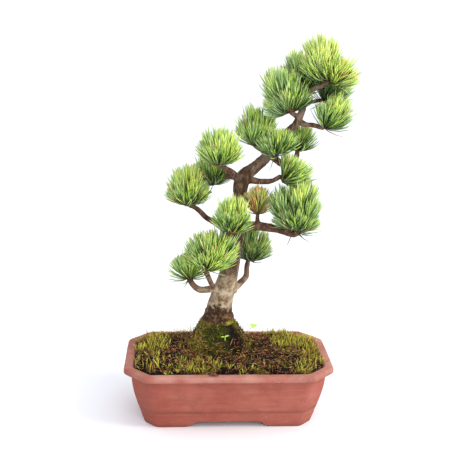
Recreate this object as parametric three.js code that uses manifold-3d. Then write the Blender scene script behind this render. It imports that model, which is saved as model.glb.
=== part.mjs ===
// A Japanese white pine bonsai in its canted terracotta pot, in millimetres, +Z up.
// The pot stands on four corner feet. Soil fills it and rises to a mossy mound, and the trunk grows out
// of the mound, leans to the right and carries the branches, each with its clusters of needles.
// The origin is under the middle of the whole object, on the surface that it stands on.

import * as THREE from 'three';
import { mergeVertices } from 'three/addons/utils/BufferGeometryUtils.js';
import Module from 'manifold-3d';

const wasm = await Module();
wasm.setup();

// ---------------------------------------------------------------- driving dimensions, mm

const CLEARANCE = 0.35; // gap kept between pieces that touch

const POT_LENGTH = 260;
const POT_WIDTH = 150;
const POT_HEIGHT = 78;
const POT_WALL = 8;
const FLOOR_THICKNESS = 9.5;
const CORNER_CUT = 28; // how far each corner of the rim is cut back along both sides
const CORNER_FILLET = 8;
const CUT_SHRINK = 0.5; // how much the corner cut loses for each mm of inset
const RIM_WIDTH = 11.5;
const LIP_HEIGHT = 8;
const LIP_OVERHANG = 9;
const LIP_EDGE = 1.6; // rounding of the lip
const BELLY_HEIGHT = 64; // where the side starts to curve in
const BELLY_TUCK = 10.5; // how far the curve comes in below
const BELLY_POWER = 1.5; // 1 makes the side a straight slope, more makes its belly fuller
const FOOT_BAND = 14; // height of the plain band round the base
const GROOVE_DEPTH = 1.8;
const GROOVE_HEIGHT = 2.2;
const FOOT_TAPER = 5;
const FOOT_WIDTH = 17;
const FOOT_CLEAR = 8.5; // free height under the pot
const FRONT_ARCH = 72; // flat length of the gap between the feet, front and back
const SIDE_ARCH = 28; // the same at both ends
const ARCH_SLOPE = 18; // length of the curve from the flat down to the foot
const ARCH_EASE = 0.1; // how far the arch stays under the floor

const DRAIN_HOLE = 16; // diameter
const DRAIN_SPACING = 120;
const SCREEN_SIZE = 34;
const SCREEN_THICKNESS = 1.2;
const SCREEN_MESH = 4; // openings along each side of the screen
const SCREEN_BAR = 1.8;
const CLIP_WIRE = 1.6; // diameter
const CLIP_TAIL = 13; // how far each leg is bent out under the pot
const CLIP_SHOULDER = 9; // how far the clip's loop runs over the screen past each leg
const CLIP_LOOP = 8; // width of that loop
const CLIP_LEG = DRAIN_HOLE / 4; // from the middle of the drain hole to each leg, along X and Y

const SOIL_DROP = 6; // soil below the rim at the wall
const SOIL_CROWN = 4; // soil above the rim at the foot of the mound
const COVER_THICKNESS = 4;
const MOUND_RADIUS = 40;
const MOUND_RISE = 39; // trunk foot above the rim
const MOSS_THICKNESS = 5;

const TRUNK_X = -13;
const TRUNK_Y = 8;
const TRUNK_DEPTH = 30; // length of trunk inside the mound
const TREE_HEIGHT = 361; // trunk foot to the tip of the crown
const DRAWN_HEIGHT = 361; // height at which the tree's points below are given

const LIMB_SIDES = 7;
const TRUNK_SIDES = 11;
const BRUSH_SIDES = 11;
const MOUND_SIDES = 24;
const FILLET_STEPS = 2;

const GROW = TREE_HEIGHT / DRAWN_HEIGHT;

// ---------------------------------------------------------------- the tree's route, from the trunk foot

// Each point is x, y, z and the radius there.
const TRUNK_ROUTE = [
  [-1, 0, -TRUNK_DEPTH / GROW, 23],
  [0, 0, -12, 21.4],
  [0, 0, 0, 18.9],
  [1, -1, 16, 16.5],
  [4, -2, 34, 14.3],
  [8, -4, 49, 12.9],
  [12, -6, 66, 11.5],
  [16, -7, 85, 10],
  [19, -8, 103, 8.6],
  [21, -9, 120, 7.8],
  [22, -8, 138, 7.6],
  [23, -7, 156, 8.2],
  [24, -6, 172, 8.3],
  [26, -6, 186, 9.1],
  [31, -7, 195, 8.1],
  [40, -7, 202, 6.8],
  [50, -8, 211, 6.2],
  [61, -10, 223, 5.7],
  [72, -12, 235, 4.9],
  [80, -14, 249, 4.4],
  [89, -16, 258, 4],
  [92, -16, 266, 3.7],
  [95, -17, 276, 3.5],
  [99, -19, 293, 3],
  [116, -22, 304, 2.5],
  [122, -23, 308, 2],
];

// Each branch is one or more limbs, the later ones growing from the first.
const BRANCHES = {
  branch_low_left: [
    [[3, -6, 48, 5.8], [-5, -9, 49, 4.8], [-16, -17, 50, 4], [-28, -22, 53, 3.5], [-38, -25, 68, 2.3]],
    [[-7, -13, 50, 3.1], [-13, -24, 67, 2.9], [-20, -35, 86, 2.3]],
  ],
  branch_low_right: [
    [[14, -3, 42, 5.4], [28, 7, 51, 4.1], [37, 13, 61, 3.3], [36, 15, 70, 2.7], [38, 17, 78, 2.1]],
  ],
  branch_front: [
    [[21, -9, 117, 4.2], [20, -22, 124, 3.4], [15, -33, 127, 2.8], [8, -43, 130, 2.1]],
    [[15, -33, 127, 2.5], [16, -45, 153, 1.9]],
  ],
  branch_left: [
    [[22, -7, 126, 5.2], [8, 0, 127, 4.2], [-5, 2, 132, 3.6], [-16, 2, 137, 3.2], [-25, -2, 147, 2.9],
      [-33, -4, 153, 2.5], [-40, -6, 156, 2.1]],
  ],
  branch_right: [
    [[22, -9, 125, 6.1], [30, -15, 131, 5.3], [47, -20, 133, 5], [59, -24, 132, 4.6],
      [73, -28, 130, 4], [88, -33, 126, 3.2], [97, -32, 130, 2.5], [107, -30, 135, 1.9]],
    [[78, -30, 128, 3.2], [84, -33, 137, 2.9], [85, -35, 147, 2.5], [87, -32, 159, 1.9]],
  ],
  twig_right: [
    [[47, -20, 135, 2.5], [45, -20, 141, 2.3], [45, -20, 147, 1.9]],
  ],
  branch_mid_left: [
    [[25, -7, 185, 5.1], [18, -19, 194, 3.8], [9, -28, 203, 3], [0, -35, 209, 2.1]],
    [[2, -33, 208, 2.3], [-9, -33, 216, 1.9], [-19, -30, 222, 1.7]],
  ],
  branch_mid_back: [
    [[25, -4, 186, 4.7], [14, 7, 190, 3.8], [2, 19, 185, 3], [-7, 26, 178, 2.5], [-14, 30, 173, 2.1]],
  ],
  branch_mid_right: [
    [[28, -7, 186, 4.5], [35, -11, 188, 3.8], [50, -15, 187, 3.2], [64, -19, 190, 2.6], [71, -20, 195, 2.1]],
  ],
  branch_upper_left: [
    [[59, -9, 221, 3.4], [49, -11, 225, 2.8], [43, -13, 228, 2.4], [39, -15, 231, 2.1]],
    [[49, -10, 224, 2.4], [46, -7, 238, 2.3], [41, -7, 251, 1.9]],
  ],
  branch_upper_back: [
    [[61, -8, 218, 3.8], [78, 4, 204, 3.2], [90, 11, 205, 2.8], [94, 13, 213, 2.5], [95, 13, 221, 2.1]],
  ],
  shoot_upper_front: [
    [[62, -12, 219, 2.6], [65, -20, 219, 2.3], [65, -26, 224, 1.9]],
  ],
  shoot_apex_left: [
    [[92, -16, 265, 2.6], [86, -18, 268, 2.2], [80, -20, 272, 1.9]],
  ],
  shoot_apex_right: [
    [[92, -16, 260, 3.2], [99, -19, 257, 2.8], [108, -22, 257, 2.4], [119, -26, 254, 1.9]],
  ],
  shoot_apex_back: [
    [[95, -16, 279, 2.6], [96, -7, 283, 2.2], [96, 0, 286, 1.9]],
    [[96, -11, 280, 2.1], [111, -2, 283, 1.9], [120, 2, 284, 1.7]],
  ],
};

// Each cluster of needles opens like a brush from the shoot at its foot to its tip, and depth is its
// size front to back as a share of its size across.
const NEEDLES = {
  needles_crown: { foot: [121, -24, 307], tip: [107, -22, 361], radius: 26, depth: 0.9 },
  needles_crown_right: { foot: [124, -26, 306], tip: [153, -28, 328], radius: 17, depth: 0.9 },
  needles_crown_left: { foot: [95, -19, 277], tip: [47, -28, 321], radius: 23, depth: 0.9 },
  needles_crown_back: { foot: [96, 1, 287], tip: [89, 15, 339], radius: 22, depth: 0.8 },
  needles_apex_left: { foot: [80, -20, 272], tip: [51, -26, 284], radius: 11, depth: 0.9 },
  needles_apex_right: { foot: [116, -26, 255], tip: [147, -28, 287], radius: 19, depth: 0.9 },
  needles_apex_back: { foot: [120, 2, 283], tip: [154, 9, 308], radius: 15, depth: 0.9 },
  needles_upper_left: { foot: [39, -13, 229], tip: [46, -9, 276], radius: 25, depth: 0.8 },
  needles_upper_front: { foot: [64, -26, 219], tip: [66, -33, 246], radius: 19, depth: 0.7 },
  needles_upper_back: { foot: [95, 13, 218], tip: [102, 15, 249], radius: 14, depth: 0.9 },
  needles_mid_left: { foot: [-2, -35, 207], tip: [-2, -35, 254], radius: 25, depth: 0.85 },
  needles_mid_back: { foot: [-14, 30, 170], tip: [-11, 28, 215], radius: 21, depth: 0.9 },
  needles_left: { foot: [-41, -6, 153], tip: [-39, -6, 204], radius: 26, depth: 0.85 },
  needles_front: { foot: [10, -44, 127], tip: [17, -46, 182], radius: 20, depth: 0.85 },
  needles_front_right: { foot: [45, -20, 145], tip: [43, -20, 183], radius: 13, depth: 0.9 },
  needles_mid_right: { foot: [70, -20, 193], tip: [108, -20, 197], radius: 18, depth: 0.9 },
  needles_right: { foot: [91, -33, 127], tip: [91, -32, 193], radius: 35, depth: 0.65 },
  needles_low_front: { foot: [-9, -36, 80], tip: [-8, -38, 134], radius: 36, depth: 0.55 },
  needles_low_left: { foot: [-38, -25, 64], tip: [-38, -26, 101], radius: 17, depth: 0.9 },
  needles_low_right: { foot: [38, 17, 76], tip: [52, 19, 125], radius: 24, depth: 0.85 },
};

// The brush's outline: radius and height, each as a share of the whole.
const BRUSH_OUTLINE = [[0, 0], [0.34, 0.03], [0.78, 0.22], [1, 0.5], [0.9, 0.76], [0.52, 0.94], [0, 1]];

// ---------------------------------------------------------------- materials

const MATERIALS = {
  terracotta: new THREE.MeshStandardMaterial({ color: 0xb0604d, roughness: 0.9, metalness: 0 }),
  soil: new THREE.MeshStandardMaterial({ color: 0x2a1c14, roughness: 1, metalness: 0 }),
  ground_cover: new THREE.MeshStandardMaterial({ color: 0x75742d, roughness: 1, metalness: 0 }),
  moss: new THREE.MeshStandardMaterial({ color: 0x5d5a1c, roughness: 1, metalness: 0 }),
  bark: new THREE.MeshStandardMaterial({ color: 0x77695a, roughness: 0.95, metalness: 0 }),
  twig_bark: new THREE.MeshStandardMaterial({ color: 0x6a4a36, roughness: 0.95, metalness: 0 }),
  needles: new THREE.MeshStandardMaterial({ color: 0x86a432, roughness: 0.6, metalness: 0 }),
  seedling: new THREE.MeshStandardMaterial({ color: 0x9cc63a, roughness: 0.6, metalness: 0 }),
  dead_leaf: new THREE.MeshStandardMaterial({ color: 0x6b3320, roughness: 0.9, metalness: 0 }),
  screen: new THREE.MeshStandardMaterial({ color: 0x2b2c2c, roughness: 0.7, metalness: 0 }),
  clip_wire: new THREE.MeshStandardMaterial({ color: 0x8c6a4c, roughness: 0.5, metalness: 1 }),
};

// ---------------------------------------------------------------- solids and surfaces

/** A closed geometry as a solid that can be joined and cut. */
function solidOf(geometry) {
  const bare = geometry.clone();
  bare.deleteAttribute('normal');
  bare.deleteAttribute('uv');
  const merged = mergeVertices(bare);
  return new wasm.Manifold(new wasm.Mesh({
    numProp: 3,
    vertProperties: new Float32Array(merged.attributes.position.array),
    triVerts: new Uint32Array(merged.index.array),
  }));
}

/** The largest body of a solid, as a geometry. */
function geometryOf(solid) {
  const bodies = solid.decompose().sort((a, b) => b.volume() - a.volume());
  const { vertProperties, triVerts } = bodies[0].getMesh();
  const geometry = new THREE.BufferGeometry();
  geometry.setAttribute('position', new THREE.BufferAttribute(vertProperties, 3));
  geometry.setIndex(new THREE.BufferAttribute(triVerts, 1));
  geometry.computeVertexNormals();
  return geometry;
}

/** The skin through rings of points, all anticlockwise about the way they follow, closed at both ends. */
function loft(rings) {
  const count = rings[0].length;
  const points = rings.flat();
  const index = [];
  for (let ring = 0; ring < rings.length - 1; ring += 1) {
    for (let i = 0; i < count; i += 1) {
      const next = (i + 1) % count;
      const low = ring * count;
      const high = low + count;
      index.push(low + i, low + next, high + next, low + i, high + next, high + i);
    }
  }
  const middle = (ring) => ring.reduce((sum, p) => sum.add(p), new THREE.Vector3()).divideScalar(count);
  const last = (rings.length - 1) * count;
  const startCap = points.length;
  const endCap = startCap + 1;
  points.push(middle(rings[0]), middle(rings[rings.length - 1]));
  for (let i = 0; i < count; i += 1) {
    const next = (i + 1) % count;
    index.push(startCap, next, i, endCap, last + i, last + next);
  }
  const geometry = new THREE.BufferGeometry().setFromPoints(points);
  geometry.setIndex(index);
  return geometry;
}

/** A rectangle with its corners cut and rounded, inset from the pot's rim, anticlockwise at height z.
 *  Each straight side can be divided into steps. */
function potOutline(inset, z, sideSteps = 1) {
  const x = POT_LENGTH / 2 - inset;
  const y = POT_WIDTH / 2 - inset;
  const cut = CORNER_CUT - CUT_SHRINK * inset;
  const corners = [
    [x, y - cut, 0], [x - cut, y, 45], [cut - x, y, 90], [-x, y - cut, 135],
    [-x, cut - y, 180], [cut - x, -y, 225], [x - cut, -y, 270], [x, cut - y, 315],
  ];
  const reach = CORNER_FILLET * Math.tan(Math.PI / 8);
  const arcs = corners.map(([cx, cy, degrees]) => {
    const start = THREE.MathUtils.degToRad(degrees);
    const tangent = new THREE.Vector2(-Math.sin(start), Math.cos(start));
    const inward = new THREE.Vector2(-Math.cos(start), -Math.sin(start));
    const centre = new THREE.Vector2(cx, cy).addScaledVector(tangent, -reach)
      .addScaledVector(inward, CORNER_FILLET);
    return Array.from({ length: FILLET_STEPS + 1 }, (_, i) => {
      const angle = start + (i / FILLET_STEPS) * (Math.PI / 4);
      return new THREE.Vector3(
        centre.x + CORNER_FILLET * Math.cos(angle), centre.y + CORNER_FILLET * Math.sin(angle), z);
    });
  });
  return arcs.flatMap((arc, i) => {
    const isLongGap = i % 2 === 1;
    const steps = isLongGap ? sideSteps : 1;
    const from = arc[arc.length - 1];
    const to = arcs[(i + 1) % arcs.length][0];
    const between = Array.from({ length: steps - 1 }, (_, k) => from.clone().lerp(to, (k + 1) / steps));
    return [...arc, ...between];
  });
}

/** A limb through points of x, y, z and radius, in the tree's own frame, its far end rounded. */
function limb(route, sides, clearance = 0) {
  const curve = new THREE.CatmullRomCurve3(
    route.map(([x, y, z]) => new THREE.Vector3(x, y, z).multiplyScalar(GROW)), false, 'centripetal');
  const steps = Math.max(4, Math.round(1.3 * (route.length - 1)));
  const frames = curve.computeFrenetFrames(steps);
  const ringAt = (centre, frame, radius) => Array.from({ length: sides }, (_, i) => {
    const angle = (2 * Math.PI * i) / sides;
    return centre.clone()
      .addScaledVector(frames.normals[frame], radius * Math.cos(angle))
      .addScaledVector(frames.binormals[frame], radius * Math.sin(angle));
  });
  const start = curve.getPointAt(0).addScaledVector(frames.tangents[0], -clearance);
  const rings = [ringAt(start, 0, route[0][3] * GROW + clearance)];
  for (let i = 1; i <= steps; i += 1) {
    const place = curve.getUtoTmapping(i / steps) * (route.length - 1);
    const before = Math.min(Math.floor(place), route.length - 2);
    const radius = THREE.MathUtils.lerp(route[before][3], route[before + 1][3], place - before);
    rings.push(ringAt(curve.getPointAt(i / steps), i, radius * GROW + clearance));
  }
  const tip = route[route.length - 1][3] * GROW;
  const end = curve.getPointAt(1).addScaledVector(frames.tangents[steps], 0.6 * tip + clearance);
  rings.push(ringAt(end, steps, 0.5 * tip + clearance));
  return loft(rings);
}

/** The closed envelope of one cluster of needles, opening from its foot to its tip. */
function brush({ foot, tip, radius, depth }, order, clearance = 0) {
  const from = new THREE.Vector3(...foot).multiplyScalar(GROW);
  const along = new THREE.Vector3(...tip).multiplyScalar(GROW).sub(from);
  const length = along.length();
  const outline = BRUSH_OUTLINE.map(([r, t]) => new THREE.Vector2(
    r === 0 ? 0 : r * radius * GROW + clearance, t * (length + 2 * clearance) - clearance));
  const geometry = new THREE.LatheGeometry(outline, BRUSH_SIDES);
  const position = geometry.attributes.position;
  for (let i = 0; i < position.count; i += 1) {
    const x = position.getX(i);
    const z = position.getZ(i);
    const angle = Math.atan2(z, x);
    const lobes = 1 + 0.06 * Math.sin(3 * angle + order) + 0.05 * Math.sin(5 * angle - 2 * order);
    position.setX(i, x * lobes);
    position.setZ(i, z * lobes);
  }
  const turn = new THREE.Quaternion().setFromUnitVectors(new THREE.Vector3(0, 1, 0), along.normalize());
  return geometry.applyQuaternion(turn).scale(1, depth, 1).translate(from.x, from.y, from.z);
}

function mesh(name, geometry, material, position = [0, 0, 0]) {
  const made = new THREE.Mesh(geometry, material);
  made.name = name;
  made.position.set(...position);
  return made;
}

// ---------------------------------------------------------------- pot

const FOOT_INSET = LIP_OVERHANG + BELLY_TUCK;
const BELLY_FOOT = FOOT_BAND + GROOVE_HEIGHT;
const FLOOR_TOP = FOOT_CLEAR + FLOOR_THICKNESS;

/** How far the side stands in from the rim at height z. */
function bellyInset(z) {
  const level = THREE.MathUtils.clamp((BELLY_HEIGHT - z) / (BELLY_HEIGHT - BELLY_FOOT), 0, 1);
  return LIP_OVERHANG + BELLY_TUCK * level ** BELLY_POWER;
}

const BELLY_SHARES = [0, 0.25, 0.5, 0.75, 1];
const BELLY_LEVELS = BELLY_SHARES.map((share) => THREE.MathUtils.lerp(BELLY_FOOT, BELLY_HEIGHT, share));

/** The inset of the pot's inner face at height z. */
function innerInset(z) {
  if (z < BELLY_HEIGHT) return bellyInset(z) + POT_WALL;
  const share = (z - BELLY_HEIGHT) / (POT_HEIGHT - BELLY_HEIGHT);
  return THREE.MathUtils.lerp(LIP_OVERHANG + POT_WALL, RIM_WIDTH, share);
}

const INNER_LEVELS = [1, 0.66, 0.33, 0].map((share) => THREE.MathUtils.lerp(FLOOR_TOP, BELLY_HEIGHT, share));

/** The arch between two feet, as a bar through the pot along +Z, its flat top FOOT_CLEAR high. */
function archCutter(flat, reach) {
  const top = FOOT_CLEAR - ARCH_EASE;
  const wide = flat / 2 + ARCH_SLOPE;
  const shape = new THREE.Shape();
  shape.moveTo(-wide, -1);
  shape.lineTo(wide, -1);
  shape.lineTo(wide, 0);
  shape.bezierCurveTo(wide - ARCH_SLOPE / 2, 0, flat / 2 + ARCH_SLOPE / 2, top, flat / 2, top);
  shape.lineTo(-flat / 2, top);
  shape.bezierCurveTo(-flat / 2 - ARCH_SLOPE / 2, top, -wide + ARCH_SLOPE / 2, 0, -wide, 0);
  shape.closePath();
  const geometry = new THREE.ExtrudeGeometry(shape, { depth: reach, bevelEnabled: false, curveSegments: 5 });
  return geometry.translate(0, 0, -reach / 2).rotateX(Math.PI / 2);
}

function makePot() {
  const lipFoot = POT_HEIGHT - LIP_HEIGHT;
  const outer = [
    [FOOT_INSET + FOOT_TAPER, 0],
    [FOOT_INSET + 0.4, FOOT_BAND],
    [FOOT_INSET + GROOVE_DEPTH, FOOT_BAND + GROOVE_HEIGHT / 2],
    ...BELLY_LEVELS.map((z) => [bellyInset(z), z]),
    [LIP_OVERHANG, lipFoot - 2 * LIP_EDGE],
    [LIP_OVERHANG - 1, lipFoot - 0.6 * LIP_EDGE],
    [LIP_EDGE, lipFoot],
    [0, lipFoot + LIP_EDGE],
    [0, POT_HEIGHT - 1.4 * LIP_EDGE],
    [0.45 * LIP_EDGE, POT_HEIGHT - 0.45 * LIP_EDGE],
    [1.6 * LIP_EDGE, POT_HEIGHT],
    [RIM_WIDTH - LIP_EDGE, POT_HEIGHT],
    [RIM_WIDTH, POT_HEIGHT - LIP_EDGE],
  ];
  const inner = INNER_LEVELS.map((z) => [innerInset(z), z]);
  const body = solidOf(loft([...outer, ...inner].map(([inset, z]) => potOutline(inset, z))));
  const footInner = FOOT_INSET + FOOT_TAPER + FOOT_WIDTH;
  const hollow = solidOf(loft([potOutline(footInner, -1), potOutline(footInner, FOOT_CLEAR)]));
  const archFront = solidOf(archCutter(FRONT_ARCH, 2 * POT_WIDTH));
  const archSide = solidOf(archCutter(SIDE_ARCH, 2 * POT_LENGTH).rotateZ(Math.PI / 2));
  let pot = body.subtract(hollow).subtract(archFront).subtract(archSide);
  for (const side of [-1, 1]) {
    const hole = new THREE.CylinderGeometry(DRAIN_HOLE / 2, DRAIN_HOLE / 2, 4 * FLOOR_THICKNESS, 20);
    hole.rotateX(Math.PI / 2).translate((side * DRAIN_SPACING) / 2, 0, FLOOR_TOP);
    pot = pot.subtract(solidOf(hole));
  }
  return geometryOf(pot);
}

// ---------------------------------------------------------------- drain screens and clips

const SCREEN_Z = FLOOR_TOP + CLEARANCE;
const SCREEN_PITCH = (SCREEN_SIZE - SCREEN_BAR) / SCREEN_MESH;
const CLIP_Z = SCREEN_Z + SCREEN_THICKNESS + CLEARANCE + CLIP_WIRE / 2;

/** A moulded grid: bars one way joined to bars the other way. */
function makeScreen() {
  let screen;
  for (let i = 0; i <= SCREEN_MESH; i += 1) {
    const across = i * SCREEN_PITCH - (SCREEN_SIZE - SCREEN_BAR) / 2;
    const bar = new THREE.BoxGeometry(SCREEN_SIZE, SCREEN_BAR, SCREEN_THICKNESS);
    bar.translate(0, across, SCREEN_THICKNESS / 2);
    const crossed = solidOf(bar).add(solidOf(bar.clone().rotateZ(Math.PI / 2)));
    screen = screen ? screen.add(crossed) : crossed;
  }
  return geometryOf(screen);
}

/** A staple of bent wire: a loop over the screen, legs down through it and tails out under the floor. */
function makeClip() {
  const leg = CLIP_LEG;
  const far = leg + CLIP_SHOULDER;
  const under = FOOT_CLEAR - CLEARANCE - CLIP_WIRE / 2 - CLIP_Z;
  const corners = [
    [-leg - CLIP_TAIL, 0, under], [-leg, 0, under], [-leg, 0, 0], [-far, 0, 0], [-far, CLIP_LOOP, 0],
    [far, CLIP_LOOP, 0], [far, 0, 0], [leg, 0, 0], [leg, 0, under], [leg + CLIP_TAIL, 0, under],
  ].map((point) => new THREE.Vector3(...point));
  const bend = CLIP_WIRE;
  const path = new THREE.CurvePath();
  let from = corners[0];
  for (let i = 1; i < corners.length - 1; i += 1) {
    const corner = corners[i];
    const enter = corner.clone().addScaledVector(corner.clone().sub(corners[i - 1]).normalize(), -bend);
    const leave = corner.clone().addScaledVector(corners[i + 1].clone().sub(corner).normalize(), bend);
    path.add(new THREE.LineCurve3(from, enter));
    path.add(new THREE.QuadraticBezierCurve3(enter, corner, leave));
    from = leave;
  }
  path.add(new THREE.LineCurve3(from, corners[corners.length - 1]));
  const section = new THREE.Shape().absarc(0, 0, CLIP_WIRE / 2, 0, 2 * Math.PI, false);
  return new THREE.ExtrudeGeometry(section, { steps: 38, curveSegments: 3, extrudePath: path });
}

// ---------------------------------------------------------------- soil, ground cover and moss mound

const SOIL_STEPS = 5;
const MOUND_TOP = POT_HEIGHT + MOUND_RISE;
const COVER_TOP = POT_HEIGHT + SOIL_CROWN + COVER_THICKNESS;

// The mound's outline from its foot inwards: radius and height, each as a share of the whole.
const MOUND_OUTLINE = [[1, 0], [0.93, 0.2], [0.8, 0.46], [0.66, 0.7], [0.54, 0.9], [0.42, 1]];

/** A ring between the pot's outline and a circle round the trunk: share 0 is the outline. */
function soilRing(inset, radius, share, z) {
  return potOutline(inset, z, SOIL_STEPS).map((p) => {
    const away = new THREE.Vector3(p.x - TRUNK_X, p.y - TRUNK_Y, 0).setLength(radius);
    const onCircle = new THREE.Vector3(TRUNK_X + away.x, TRUNK_Y + away.y, z);
    return p.clone().lerp(onCircle, share);
  });
}

/** The fill of the pot up to its crowned top, with the core of the mound, raised by an amount. */
function fill(bottom, sideClearance, raised, moundShrink) {
  const edge = POT_HEIGHT - SOIL_DROP + raised;
  const crown = POT_HEIGHT + SOIL_CROWN + raised;
  const levels = [bottom, ...INNER_LEVELS.filter((z) => z > bottom && z < edge).sort((a, b) => a - b)];
  const sides = levels.map((z) => potOutline(innerInset(z) + sideClearance, z, SOIL_STEPS));
  const wall = innerInset(Math.min(edge, POT_HEIGHT)) + sideClearance;
  const radius = MOUND_RADIUS - moundShrink;
  const top = [0, 0.12, 0.45, 1].map((share) => soilRing(
    wall, radius, share, THREE.MathUtils.lerp(edge, crown, Math.sqrt(share))));
  const rise = MOUND_TOP - crown - moundShrink;
  const mound = MOUND_OUTLINE.slice(1).map(([r, h]) => soilRing(wall, r * radius, 1, crown + h * rise));
  return loft([...sides, ...top, ...mound]);
}

function makeSoil(trunkPocket) {
  let soil = solidOf(fill(FLOOR_TOP + CLEARANCE, CLEARANCE, 0, MOSS_THICKNESS));
  const pocketHeight = CLIP_Z + CLIP_WIRE / 2 + CLEARANCE - FLOOR_TOP;
  for (const side of [-1, 1]) {
    const pocket = new THREE.BoxGeometry(
      SCREEN_SIZE + 2 * CLEARANCE, SCREEN_SIZE + 2 * CLEARANCE, 2 * pocketHeight);
    pocket.translate((side * DRAIN_SPACING) / 2, 0, FLOOR_TOP);
    soil = soil.subtract(solidOf(pocket));
  }
  return geometryOf(soil.subtract(trunkPocket));
}

/** The mound's outer shape, solid to its axis. */
function moundShape(clearance) {
  const foot = POT_HEIGHT - SOIL_DROP;
  const base = POT_HEIGHT + SOIL_CROWN;
  const outline = [
    new THREE.Vector2(0, foot),
    new THREE.Vector2(MOUND_RADIUS + clearance, foot),
    ...MOUND_OUTLINE.map(([r, h]) => new THREE.Vector2(
      r * MOUND_RADIUS + clearance, THREE.MathUtils.lerp(base, MOUND_TOP, h) + clearance)),
    new THREE.Vector2(0, MOUND_TOP + clearance),
  ];
  return new THREE.LatheGeometry(outline, MOUND_SIDES).rotateX(Math.PI / 2).translate(TRUNK_X, TRUNK_Y, 0);
}

function makeMossMound(trunkPocket) {
  const core = solidOf(fill(FLOOR_TOP, 0, CLEARANCE, MOSS_THICKNESS - CLEARANCE));
  return geometryOf(solidOf(moundShape(0)).subtract(core).subtract(trunkPocket));
}

function makeGroundCover() {
  const cover = solidOf(fill(POT_HEIGHT - 2 * SOIL_DROP, 2 * CLEARANCE, COVER_THICKNESS, 0));
  const below = solidOf(fill(FLOOR_TOP, 0, CLEARANCE, MOSS_THICKNESS - CLEARANCE));
  const mound = solidOf(moundShape(CLEARANCE));
  const above = solidOf(new THREE.CylinderGeometry(
    MOUND_RADIUS + CLEARANCE, MOUND_RADIUS + CLEARANCE, 2 * MOUND_RISE, MOUND_SIDES)
    .rotateX(Math.PI / 2).translate(TRUNK_X, TRUNK_Y, COVER_TOP + MOUND_RISE - COVER_THICKNESS));
  return geometryOf(cover.subtract(below).subtract(mound).subtract(above));
}

// ---------------------------------------------------------------- small plants and litter

/** The mound's height at a distance from its middle. */
function moundHeight(distance) {
  const share = distance / MOUND_RADIUS;
  const outer = MOUND_OUTLINE.findIndex(([r]) => r <= share);
  const [r1, h1] = MOUND_OUTLINE[outer];
  const [r0, h0] = MOUND_OUTLINE[outer - 1];
  const height = THREE.MathUtils.mapLinear(share, r0, r1, h0, h1);
  return THREE.MathUtils.lerp(POT_HEIGHT + SOIL_CROWN, MOUND_TOP, height);
}

/** A seedling: a thin stem with leaves spread round its tip. */
function makeSeedling(height, leafLength, leafWidth, leaves) {
  const stemRadius = 0.7;
  let plant = solidOf(new THREE.CylinderGeometry(stemRadius, stemRadius, height, 6)
    .rotateX(Math.PI / 2).translate(0, 0, height / 2));
  for (let i = 0; i < leaves; i += 1) {
    const leaf = new THREE.SphereGeometry(0.5, 6, 4).scale(leafLength, leafWidth, 1)
      .rotateY(-0.45).translate(0.46 * leafLength, 0, height)
      .rotateZ((2 * Math.PI * i) / leaves + 0.4);
    plant = plant.add(solidOf(leaf));
  }
  return geometryOf(plant);
}

/** A dry leaf, curled along its length. */
function makeFallenLeaf() {
  const length = 12;
  const width = 5;
  const curl = 1.6;
  const shape = new THREE.Shape();
  shape.moveTo(-length / 2, 0);
  shape.quadraticCurveTo(0, -width, length / 2, 0);
  shape.quadraticCurveTo(0, width, -length / 2, 0);
  const leaf = new THREE.ExtrudeGeometry(shape, { depth: 0.5, bevelEnabled: false, curveSegments: 8 });
  const position = leaf.attributes.position;
  for (let i = 0; i < position.count; i += 1) {
    position.setZ(i, position.getZ(i) + curl * (2 * position.getX(i) / length) ** 2);
  }
  return leaf;
}

// ---------------------------------------------------------------- assembly

const trunkFoot = [TRUNK_X, TRUNK_Y, MOUND_TOP];
const trunkPocket = solidOf(limb(TRUNK_ROUTE, TRUNK_SIDES, CLEARANCE).translate(...trunkFoot));

const bonsai = new THREE.Group();
bonsai.add(mesh('pot', makePot(), MATERIALS.terracotta));
for (const [name, side] of [['left', -1], ['right', 1]]) {
  const x = (side * DRAIN_SPACING) / 2;
  bonsai.add(mesh(`drain_screen_${name}`, makeScreen(), MATERIALS.screen, [x, 0, SCREEN_Z]));
  bonsai.add(mesh(`screen_clip_${name}`, makeClip(), MATERIALS.clip_wire,
    [x, CLIP_LEG, CLIP_Z]));
}
bonsai.add(mesh('soil', makeSoil(trunkPocket), MATERIALS.soil));
bonsai.add(mesh('ground_cover', makeGroundCover(), MATERIALS.ground_cover));
bonsai.add(mesh('moss_mound', makeMossMound(trunkPocket), MATERIALS.moss));

const cloverAway = 0.8 * MOUND_RADIUS;
bonsai.add(mesh('clover_seedling', makeSeedling(9, 7, 5, 3), MATERIALS.seedling,
  [TRUNK_X + cloverAway, TRUNK_Y + 4, moundHeight(cloverAway) + 2 * CLEARANCE]));
const sproutAway = 0.75 * MOUND_RADIUS;
bonsai.add(mesh('mound_seedling', makeSeedling(7, 5, 3.4, 2), MATERIALS.seedling,
  [TRUNK_X + 8, TRUNK_Y - sproutAway, moundHeight(sproutAway) + 2 * CLEARANCE]));
bonsai.add(mesh('fallen_leaf', makeFallenLeaf(), MATERIALS.dead_leaf,
  [-20, RIM_WIDTH / 2 - POT_WIDTH / 2, POT_HEIGHT + CLEARANCE]));

const tree = new THREE.Group();
tree.position.set(...trunkFoot);
tree.add(mesh('trunk', limb(TRUNK_ROUTE, TRUNK_SIDES), MATERIALS.bark));

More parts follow.
